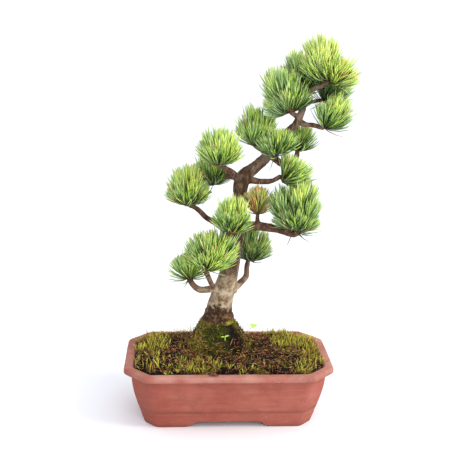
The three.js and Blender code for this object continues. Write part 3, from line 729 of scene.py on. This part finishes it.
# %% Shoots of a cluster
def spread_shoots(envelope, area, foot, heart, axis, chance):
    """Shoots as (start, end, own tone, place on the envelope that it points to), and their placements."""
    skin = BVHTree.FromBMesh(envelope)
    shoots, placements = [], []
    outer = lambda point, normal: normal.dot(axis) > -0.3
    for target, _ in random_on(envelope, max(4, round(area / AREA_OF_A_SHOOT)), chance, outer):
        brush = ((target - heart).normalized() + UP * 0.55).normalized()
        end = target - brush * min(0.9 * NEEDLE_LENGTH, 0.85 * (target - heart).length)
        skin_point, skin_normal = skin.find_nearest(end)[:2]
        if (end - skin_point).dot(skin_normal) > -1 * MM:
            end = skin_point.lerp(heart, 0.2)
        start = WOOD_TREE.find_nearest(end)[0].lerp(foot, 0.5)
        shoots.append((start, end, chance.gauss(0, 0.1), target))
        placements.append(stick(start, end, SHOOT_THICKNESS, chance.randrange(BROWN_COLUMNS)))
    return shoots, placements


# %% Needles of a cluster
def grow_needle(base, target, axis, hanging, chance):
    """A needle's bend, aim and length, or None where it would hang down and isn't one of the few."""
    along = target - base
    if along.normalized().dot(axis) < 0.18 and chance.random() > hanging:
        return None
    length = min(NEEDLE_LENGTH * chance.uniform(1.0, 1.2), max(along.length, 0.8 * NEEDLE_LENGTH))
    level = 1 - abs(along.normalized().z)
    bend = min(len(NEEDLE_SHAPES) - 1, int(chance.uniform(0, 1.6) + 3 * level))
    aim = along.normalized() * length + (axis * 0.12 - UP * NEEDLE_BENDS[bend] * 0.8) * length
    return bend, aim, length


def make_cluster(name, seed):
    chance = random.Random(seed)
    envelope, broader = copy_of(name), BROADER.get(name, 0.0)
    centre = sum((v.co for v in envelope.verts), Vector()) / len(envelope.verts)
    area = sum(face.calc_area() for face in envelope.faces)
    reach_low = min(v.co.z for v in envelope.verts)
    reach_high = max(v.co.z for v in envelope.verts)
    foot = WOOD_TREE.find_nearest(centre - UP * 0.8 * (centre.z - reach_low))[0]
    axis = ((centre - foot).normalized() + UP).normalized()
    heart = foot.lerp(centre, 0.12)
    shoots, placements = spread_shoots(envelope, area, foot, heart, axis, chance)
    for target, _ in random_on(envelope, round(area / AREA_OF_A_NEEDLE), chance):
        target = target.lerp(heart, chance.random() ** 2 * 0.3 - chance.random() ** 3 * 0.34 - 0.07 - broader)
        start, end, own_tone, bunch = min(
            shoots, key=lambda shoot: (shoot[3] - target).length * (1 + 0.3 * chance.random()))
        target = target.lerp(bunch, chance.uniform(0, 0.42))
        base = end.lerp(start, chance.random() * min(1.0, BRUSH_STRETCH / (end - start).length))
        grown = grow_needle(base, target, axis, HANGING_SHARE.get(name, USUAL_HANGING), chance)
        if grown is None:
            continue
        bend, aim, length = grown
        # Painted light: needles higher in a cluster take lighter, yellower tones.
        painted_top_light = (target.z - reach_low) / (reach_high - reach_low) - 0.55
        column = tone_column(CLUSTER_TONES_AND_PAINTED_LIGHT[name] + own_tone + 0.3 * painted_top_light, chance)
        if chance.random() < DRY_SHARE.get(name, USUAL_DRY):
            column = chance.randrange(BROWN_COLUMNS, DRY_COLUMNS)
        placements.append((NEEDLE_SHAPES[bend], aimed(base, aim, length, chance.gauss(0, 0.6)), column))
    envelope.free()
    return piece_from_mesh(gather(placements), name.replace("needles", "pine_needles"), NEEDLE_GREEN,
                           [name])


# %% All clusters
NEEDLE_GREEN = needle_green()
for order, cluster_name in enumerate(CLUSTER_TONES_AND_PAINTED_LIGHT):
    make_cluster(cluster_name, order)

# %% [markdown]
# ## Ground
# The soil is dark and crumbly, with thin yellow-green moss in patches. The mound carries cushions of moss:
# deep green in the middle of its front, golden on both sides, and bare soil at its front right. A copy of the
# frame's ground cover and mound is remeshed into one skin and roughened with crumbs, and its colour mixes
# soil and moss by noise and by where it lies on the mound.

# %% Moss on the mound
GREEN_MOSS = [(0.32, (0.01, 0.012, 0.001)), (0.5, (0.035, 0.042, 0.003)), (0.7, (0.11, 0.13, 0.012))]
SOIL = [(0.38, (0.003, 0.002, 0.001)), (0.54, (0.008, 0.005, 0.003)), (0.7, (0.05, 0.026, 0.012))]


def mound_parts(tree, where):
    """X and Y from the middle of the mound, each as a socket."""
    offset = add(tree, "ShaderNodeVectorMath", operation="SUBTRACT")
    tree.links.new(where, offset.inputs[0])
    offset.inputs[1].default_value = (mound_middle.x, mound_middle.y, mound_low.z)
    parts = parts_of(tree, offset.outputs[0])
    return parts["X"], parts["Y"]


def mossed(tree, ground, soil, golden, green, across, deep):
    """The ground's colour with the mound's own moss on it."""
    squares = sums(tree, "ADD", sums(tree, "MULTIPLY", across, across), sums(tree, "MULTIPLY", deep, deep))
    on_mound = share(tree, sums(tree, "SQRT", squares), 1.04 * mound_radius, 0.92 * mound_radius)
    front = share(tree, deep, -0.1 * mound_radius, -0.45 * mound_radius)
    centre = share(tree, sums(tree, "ABSOLUTE", across), 0.6 * mound_radius, 0.35 * mound_radius)
    right = share(tree, across, 0.1 * mound_radius, 0.4 * mound_radius)
    moss = blend(tree, sums(tree, "MULTIPLY", front, centre), golden, green)
    moss = blend(tree, sums(tree, "MULTIPLY", front, right), moss, soil)
    return blend(tree, on_mound, ground, moss)


# %% Ground finish
def ground_finish():
    material, tree, shader = finish("ground", 0.95)
    shader.inputs["Specular IOR Level"].default_value = 0.12
    where = object_place(tree)
    crumbs = speckle(tree, where, 330.0, 6.0, 0.7)
    tone = speckle(tree, where, 210.0, 5.0, 0.7)
    soil = ramp(tree, crumbs, SOIL)
    golden, green = ramp(tree, tone, GOLDEN_MOSS), ramp(tree, tone, GREEN_MOSS)
    patch = ramp(tree, speckle(tree, where, 34.0, 4.0), [(0.5, 0.0), (0.6, 1.0)])
    colour = blend(tree, sums(tree, "MULTIPLY", patch, 0.55), soil, golden)
    across, deep = mound_parts(tree, where)
    colour = mossed(tree, colour, soil, golden, green, across, deep)
    tree.links.new(colour, shader.inputs["Base Color"])
    bump(tree, shader, crumbs, 1.5 * MM, 0.9)
    return material


# %% Ground skin
def make_ground():
    bm = copy_of("ground_cover")
    bm.from_mesh(nodes["moss_mound"].data)
    bmesh.ops.remove_doubles(bm, verts=bm.verts, dist=0.001 * MM)
    bm.normal_update()
    for vert in bm.verts:
        vert.co += vert.normal * 0.35 * MM
    skin = remeshed(bm, "ground_skin", 1.5 * MM, smoothing=3)
    for vert in skin.verts:
        if vert.normal.z < 0.1:
            continue
        crumb = noise.noise(vert.co * 240) * 0.7 + noise.noise(vert.co * 480) * 0.5
        heap = noise.noise(vert.co * 62)
        beside = Vector((vert.co.x - mound_middle.x, vert.co.y - mound_middle.y, 0)).length / mound_radius
        cushion = limited(2.2 - 2.2 * beside) * (4.0 + 3.5 * noise.noise(vert.co * 48))
        vert.co += vert.normal * (1.0 * crumb + 1.3 * heap + cushion) * MM
    skin.normal_update()
    return piece_from(skin, "ground", ground_finish(), ["ground_cover", "moss_mound"])


ground = make_ground()
refinish("soil", ground.data.materials[0])

# %% [markdown]
# ## What grows and lies on the ground
# Yellow-green sprouts stand in tufts. Between them lie dark crumbs, red-brown fallen needles and short
# broken bits, some of them pale. Each kind is a small shape placed hundreds of times, and a palette gives
# every copy a tone of its own: dark soil, then red-brown, then green to yellow-green.

# %% Litter finish
def litter_finish():
    material, tree, shader = finish("sprouts_and_litter", 0.7)
    shader.inputs["Specular IOR Level"].default_value = 0.2
    tone, _, height = palette_place(tree)
    colour = ramp(tree, tone, [
        (0.0, (0.005, 0.003, 0.002)), (0.14, (0.024, 0.013, 0.008)), (0.2, (0.24, 0.16, 0.1)),
        (0.22, (0.09, 0.022, 0.01)), (0.4, (0.52, 0.15, 0.055)), (0.45, (0.75, 0.42, 0.22)),
        (0.47, (0.05, 0.045, 0.006)), (0.68, (0.3, 0.28, 0.02)), (0.82, (0.7, 0.66, 0.08)),
        (1.0, (0.76, 0.88, 0.14)),
    ])
    # Painted shade: every copy darkens towards its base end.
    shade = ramp(tree, height, [(0.0, 0.15), (0.7, 1.0)])
    colour = blend(tree, 1.0, colour, shade, "MULTIPLY")
    tree.links.new(colour, shader.inputs["Base Color"])
    return material


# %% Small shapes
def blade_shape(bend):
    """A flat leaf blade, pointed, one unit high."""
    bm = bmesh.new()
    grown = bmesh.ops.create_grid(bm, x_segments=1, y_segments=3, size=0.5)["verts"]
    bmesh.ops.rotate(bm, verts=grown, cent=(0, 0, 0), matrix=Matrix.Rotation(math.pi / 2, 3, "X"))
    bmesh.ops.translate(bm, verts=grown, vec=(0, 0, 0.5))
    layer = bm.loops.layers.uv.new("OFBake")
    for vert in bm.verts:
        taper = 0.16 * (1 - vert.co.z) ** 0.6 * (0.6 + 0.8 * vert.co.z)
        vert.co.x *= max(taper, 0.012)
        vert.co.y += bend * vert.co.z ** 2 + 0.05 * abs(vert.co.x)
    bmesh.ops.solidify(bm, geom=bm.faces, thickness=0.02)
    bmesh.ops.recalc_face_normals(bm, faces=bm.faces)
    for face in bm.faces:
        for loop in face.loops:
            loop[layer].uv = (0.5 + 2 * loop.vert.co.x, 0.05 + 0.9 * limited(loop.vert.co.z))
    return as_mesh(bm, "blade")


def crumb_shape(seed):
    """A rough crumb one unit across."""
    bm = bmesh.new()
    bmesh.ops.create_icosphere(bm, subdivisions=1, radius=0.5)
    layer = bm.loops.layers.uv.new("OFBake")
    for vert in bm.verts:
        vert.co *= 1 + 0.45 * noise.noise(vert.co * 3 + Vector((seed, 0, 0)))
    for face in bm.faces:
        for loop in face.loops:
            loop[layer].uv = (0.5 + 0.3 * loop.vert.co.x, 0.5 + 0.4 * loop.vert.co.z)
    return as_mesh(bm, "crumb")


BLADES = [blade_shape(bend) for bend in (0.05, 0.2, 0.4)]
CRUMBS = [crumb_shape(seed) for seed in (1, 5, 9)]


# %% [markdown]
# Crumbs, needles and bits lie flat or a little tilted, at any angle. A needle that would reach over the rim
# is left out.

# %% Ways to scatter
CRUMB_COUNT, NEEDLE_COUNT, BIT_COUNT = 3600, 900, 3000
TUFT_COUNT, SINGLE_COUNT, TRUNK_MOSS_COUNT, TALL_COUNT = 2300, 550, 420, 700
CRUMB_TONES, CRUMB_WEIGHTS = range(14), range(20, 6, -1)
LITTER_TONES = (14, 30)
BIT_TONES = (5, 13, 18, 22, 24, 25, 26, 26, 27, 28, 29, 56)
TUFT_TONES = {"green": 38, "golden": 49, "mound": 46, "pot": 51}
TALL_TONES = (20, 27, 44, 50, 53, 56, 59)
RIM_INSIDE = 15 * MM
CORNER_INSIDE = 44 * MM


def surface_of(piece):
    """A piece's mesh as triangles, to scatter on."""
    bm = bmesh.new()
    bm.from_mesh(piece.data)
    bmesh.ops.triangulate(bm, faces=bm.faces)
    bm.normal_update()
    return bm


def upward(point, normal):
    return normal.z > 0.25


def from_mound(point):
    """How far a point is from the middle of the mound, where 1 is the mound's foot."""
    return (point - mound_middle).xy.length / mound_radius


def lying(point, normal, length, chance):
    """A matrix for something that lies on the ground, a little tilted."""
    flat = Vector((chance.gauss(0, 1), chance.gauss(0, 1), 0)).normalized()
    flat = (flat - normal * flat.dot(normal)).normalized()
    along = flat + normal * chance.uniform(-0.02, 0.3)
    return aimed(point + normal * 0.6 * MM, along, length, any_turn(chance))


def in_pot(point):
    """Whether a point is inside the rim and its four cut corners."""
    half_length, half_depth = pot_high.x - pot_middle.x, pot_high.y - pot_middle.y
    across, deep = abs(point.x - pot_middle.x), abs(point.y - pot_middle.y)
    inside_sides = across < half_length - RIM_INSIDE and deep < half_depth - RIM_INSIDE
    return inside_sides and across - half_length + deep - half_depth < -CORNER_INSIDE


# %% Litter
def lay_crumbs(surface, chance):
    laid = []
    for point, normal in random_on(surface, CRUMB_COUNT, chance, upward):
        size = chance.uniform(1.0, 3.6) * MM
        turn = Matrix.Rotation(any_turn(chance), 4, normal)
        matrix = Matrix.Translation(point) @ turn @ Matrix.Diagonal((size, size * 0.8, size * 0.7, 1))
        laid.append((chance.choice(CRUMBS), matrix, chance.choices(CRUMB_TONES, CRUMB_WEIGHTS)[0]))
    return laid


def lay_needles(surface, chance):
    laid = []
    for point, normal in random_on(surface, NEEDLE_COUNT, chance, upward):
        if from_mound(point) < 1 and chance.random() < 0.9:
            continue
        matrix = lying(point, normal, chance.uniform(5, 15) * MM, chance)
        if in_pot(matrix @ UP):
            laid.append((NEEDLE_SHAPES[chance.randrange(4)], matrix, chance.randrange(*LITTER_TONES)))
    return laid


def lay_bits(surface, chance):
    laid = []
    for point, normal in random_on(surface, BIT_COUNT, chance, upward):
        if from_mound(point) < 0.8:
            continue
        length = chance.uniform(2.2, 5.5) * MM
        matrix = lying(point + UP * chance.uniform(0, 3.5) * MM, normal, length, chance)
        laid.append((NEEDLE_SHAPES[0], matrix @ Matrix.Diagonal((3.2, 3.2, 1, 1)), chance.choice(BIT_TONES)))
    return laid


# %% [markdown]
# Sprouts come in tufts that fan out of one point. Noise decides where they are thick. They are taller along
# the edges of the pot than near the mound, and thin on the bare ground in front of it. The mound itself
# carries short mossy ones, green in the middle of its front and golden on both sides.

# %% Tufts
def green_column(tone, spread, chance):
    """A green column of the litter's palette near a tone."""
    return min(60, max(31, round(chance.gauss(tone, spread))))


def grow_tuft(point, normal, tall, tone, on_mound, chance):
    """Blades out of nearly one point; on the mound they are wider and lie flatter."""
    spread, width = (0.9, 1.4) if on_mound else (0.5, 0.72)
    grown = []
    for _ in range(chance.randrange(4, 9)):
        out = Vector((chance.gauss(0, 1), chance.gauss(0, 1), 0)) * spread
        root = point + out * 1.8 * MM
        column = green_column(tone, 7, chance)
        if chance.random() < 0.2:
            column = chance.randrange(*LITTER_TONES)
        length = tall * chance.uniform(0.6, 1.3)
        matrix = aimed(root, out + UP + normal * 0.3, length, any_turn(chance), width)
        grown.append((chance.choice(BLADES), matrix, column))
    return grown


def thickness_at(point, edge, on_mound):
    """How likely a tuft is at a point, where edge is 0 in the middle of the pot and 1 at its sides."""
    in_front = not on_mound and point.y < 0 and abs(point.x - mound_middle.x) < 60 * MM
    bare = 0.25 if in_front else 0.0
    return -0.14 + 0.5 * edge ** 3 + 0.9 * noise.noise(point * 30) - bare + (0.6 if on_mound else 0.0)


def grow_tufts(surface, chance):
    grown = []
    for point, normal in random_on(surface, TUFT_COUNT, chance, upward):
        on_mound = from_mound(point) < 1
        right = (point.x - mound_middle.x) / mound_radius
        front = on_mound and point.y < mound_middle.y - 0.2 * mound_radius
        if front and right > 0.15 and chance.random() < 0.85:
            continue
        edge = max(abs(point.x - pot_middle.x) / (pot_high.x - pot_middle.x), abs(point.y) / pot_high.y)
        if chance.random() > thickness_at(point, edge, on_mound):
            continue
        tall = (chance.uniform(1.1, 2.4) if on_mound else chance.uniform(3.5, 7.5) + 4.5 * edge ** 3) * MM
        golden = on_mound and not -0.3 < right < 0.45
        kind = "golden" if golden else "green" if front else "mound" if on_mound else "pot"
        grown += grow_tuft(point, normal, tall, chance.gauss(TUFT_TONES[kind], 4), on_mound, chance)
    return grown


# %% [markdown]
# Small single blades come up between the tufts, short moss climbs the foot of the trunk to the same line as
# the golden moss in the bark, and thin tall blades stand along the back and the two ends of the pot.

# %% Single blades
def grow_singles(surface, chance):
    grown = []
    for point, _ in random_on(surface, SINGLE_COUNT, chance, upward):
        if from_mound(point) < 1:
            continue
        lean = Vector((chance.gauss(0, 0.6), chance.gauss(0, 0.6), 1))
        matrix = aimed(point, lean, chance.uniform(2, 4.5) * MM, any_turn(chance), 1.1)
        grown.append((chance.choice(BLADES), matrix, chance.randrange(45, 62)))
    return grown


def on_trunk_foot(point, normal):
    climb = MOSS_CLIMB * abs(point.x - mound_middle.x) + (6 * noise.noise(point * 70) - 1) * MM
    return mound_high.z - 6 * MM < point.z < mound_high.z + climb


def grow_trunk_moss(surface, chance):
    grown = []
    for point, normal in random_on(surface, TRUNK_MOSS_COUNT, chance, on_trunk_foot):
        matrix = aimed(point, normal + UP, chance.uniform(1.1, 2.6) * MM, any_turn(chance), 1.4)
        grown.append((chance.choice(BLADES), matrix, green_column(TUFT_TONES["mound"], 6, chance)))
    return grown


def near_back_or_ends(point, normal):
    far_out = abs(point.x - pot_middle.x) > 0.62 * (pot_high.x - pot_middle.x)
    return upward(point, normal) and (point.y > 0.5 * pot_high.y or far_out)


def grow_tall_blades(surface, chance):
    grown = []
    for point, _ in random_on(surface, TALL_COUNT, chance, near_back_or_ends):
        if noise.noise(point * 24) < -0.05:
            continue
        lean = Vector((chance.gauss(0, 0.35), chance.gauss(0, 0.35), 1))
        matrix = aimed(point, lean, chance.uniform(8, 15) * MM, any_turn(chance), 0.5)
        grown.append((chance.choice(BLADES), matrix, chance.choice(TALL_TONES)))
    return grown


# %% Scatter everything
def scatter():
    chance = random.Random(71)
    soil_skin, wood_skin = surface_of(ground), surface_of(wood)
    litter = lay_crumbs(soil_skin, chance) + lay_needles(soil_skin, chance) + lay_bits(soil_skin, chance)
    sprouts = grow_tufts(soil_skin, chance) + grow_singles(soil_skin, chance)
    sprouts += grow_trunk_moss(wood_skin, chance) + grow_tall_blades(soil_skin, chance)
    long_root = Vector((pot_middle.x - 69 * MM, -36 * MM, pot_high.z + 3 * MM))
    sprouts.append((BLADES[1], aimed(long_root, Vector((1, 0.1, 0.12)), 21 * MM), 57))
    soil_skin.free()
    wood_skin.free()
    material = litter_finish()
    piece_from_mesh(gather(litter), "litter", material)
    piece_from_mesh(gather(sprouts), "sprouts", material)


scatter()

# %% [markdown]
# ## Leaves
# A clover seedling stands behind the mound, a small seedling with two leaves grows on it, and a dry brown
# leaf has curled up on the front rim. A leaf is a grid pulled into an outline, folded along its middle, bent
# down towards its tip and given a paper's thickness.

# %% Leaf finish
def leaf_finish(name, dark, light):
    material, tree, shader = finish(name, 0.55)
    tone = speckle(tree, object_place(tree), 380.0)
    tree.links.new(ramp(tree, tone, [(0.3, dark), (0.7, light)]), shader.inputs["Base Color"])
    bump(tree, shader, tone, 0.3 * MM)
    return material


# %% Leaf shape
def add_leaf(bm, base, along, length, width, fold, droop):
    """One leaf from base along a direction, its sides lifted by fold and its tip lowered by droop."""
    side = along.cross(UP).normalized()
    over = side.cross(along)
    grown = bmesh.ops.create_grid(bm, x_segments=6, y_segments=9, size=0.5)["verts"]
    for vert in grown:
        across, up_leaf = 2 * vert.co.x, vert.co.y + 0.5
        half = 0.5 * width * max(0.06, math.sin(math.pi * up_leaf ** 0.8) ** 0.7)
        height = fold * abs(across) * half - droop * length * up_leaf ** 2
        vert.co = base + along * length * up_leaf + side * across * half + over * height


def smoothed(bm):
    """The bmesh with its faces outwards and shaded smooth."""
    bmesh.ops.recalc_face_normals(bm, faces=bm.faces)
    for face in bm.faces:
        face.smooth = True
    return bm


# %% Seedlings and the dry leaf
def make_seedling(name, node, leaves, length, width, lean=0.0):
    """A stem with a ring of leaves on top, leaning to the right of the root of the frame's seedling."""
    low, high = (Vector(corner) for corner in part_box(node))
    bm = bmesh.new()
    root = Vector(((low.x + high.x) / 2, (low.y + high.y) / 2, low.z))
    top = Vector((root.x + lean, root.y, high.z - 1.2 * MM + 0.1 * lean))
    for index in range(leaves):
        turn = math.tau * index / leaves + 0.5
        along = Vector((math.cos(turn), math.sin(turn), 0.45)).normalized()
        add_leaf(bm, top, along, length, width, 0.35, 0.25)
    bmesh.ops.solidify(bm, geom=bm.faces, thickness=0.3 * MM)
    stem = top - root
    turned = Matrix.Translation((top + root) / 2) @ stem.to_track_quat("Z", "Y").to_matrix().to_4x4()
    bmesh.ops.create_cone(bm, cap_ends=True, segments=8, radius1=0.55 * MM, radius2=0.4 * MM,
                          depth=stem.length, matrix=turned)
    return piece_from(smoothed(bm), name, SEEDLING_GREEN, [node])


def make_dry_leaf():
    low, high = (Vector(corner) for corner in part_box("fallen_leaf"))
    bm = bmesh.new()
    base = Vector((low.x, (low.y + high.y) / 2, high.z - 1 * MM))
    add_leaf(bm, base, Vector((1, 0, 0)), high.x - low.x, high.y - low.y, 0.7, 0.1)
    for vert in bm.verts:
        vert.co.z += 0.9 * MM * noise.noise(vert.co * 260)
    bmesh.ops.solidify(bm, geom=bm.faces, thickness=0.35 * MM)
    return piece_from(smoothed(bm), "dry_leaf", DRY_BROWN, ["fallen_leaf"])


SEEDLING_GREEN = leaf_finish("seedling_green", (0.4, 0.62, 0.05), (0.66, 0.86, 0.16))
DRY_BROWN = leaf_finish("dry_brown", (0.09, 0.022, 0.01), (0.26, 0.075, 0.035))
make_seedling("clover", "clover_seedling", leaves=3, length=6.5 * MM, width=7 * MM, lean=14 * MM)
make_seedling("two_leaf_seedling", "mound_seedling", leaves=2, length=6 * MM, width=3.6 * MM)
make_dry_leaf()

# %% [markdown]
# ## Stage
# A pale floor, a bright even sky and two large soft lights: a warm one from the right, above the tree, and
# a weaker and wider one from the front right. The sky does most of the lighting, so shadows stay faint.

# %% Floor
FLOOR_WHITE = (0.9, 0.905, 0.935, 1)
SKY_WHITE = (0.935, 0.96, 1.0, 1)
TREE_MIDDLE = Vector((0, 0, 0.2))


def make_floor():
    bm = bmesh.new()
    bmesh.ops.create_circle(bm, cap_ends=True, segments=64, radius=6.0)
    bmesh.ops.translate(bm, verts=bm.verts, vec=(0, 0, pot_low.z - 0.05 * MM))
    floor = bpy.data.objects.new("floor", as_mesh(bm, "floor"))
    bpy.context.scene.collection.objects.link(floor)
    material, _, shader = finish("white_sweep", 0.9)
    shader.inputs["Base Color"].default_value = FLOOR_WHITE
    floor.data.materials.append(material)


make_floor()


# %% Lights and sky
def soft_light(name, place, size, power, colour):
    data = bpy.data.lights.new(name, "AREA")
    data.shape = "DISK"
    data.size = size
    data.energy = power
    data.color = colour
    light = bpy.data.objects.new(name, data)
    bpy.context.scene.collection.objects.link(light)
    light.location = place
    light.rotation_euler = (TREE_MIDDLE - Vector(place)).to_track_quat("-Z", "Y").to_euler()


soft_light("key", (1.5, -0.7, 1.5), 0.8, 24, (1, 0.97, 0.9))
soft_light("fill", (0.8, -1.8, 0.9), 1.2, 8, (1, 1, 1))
world = bpy.data.worlds.new("bright_sky")
bpy.context.scene.world = world
world.use_nodes = True
sky = world.node_tree.nodes["Background"].inputs
sky["Color"].default_value = SKY_WHITE
sky["Strength"].default_value = 1.2
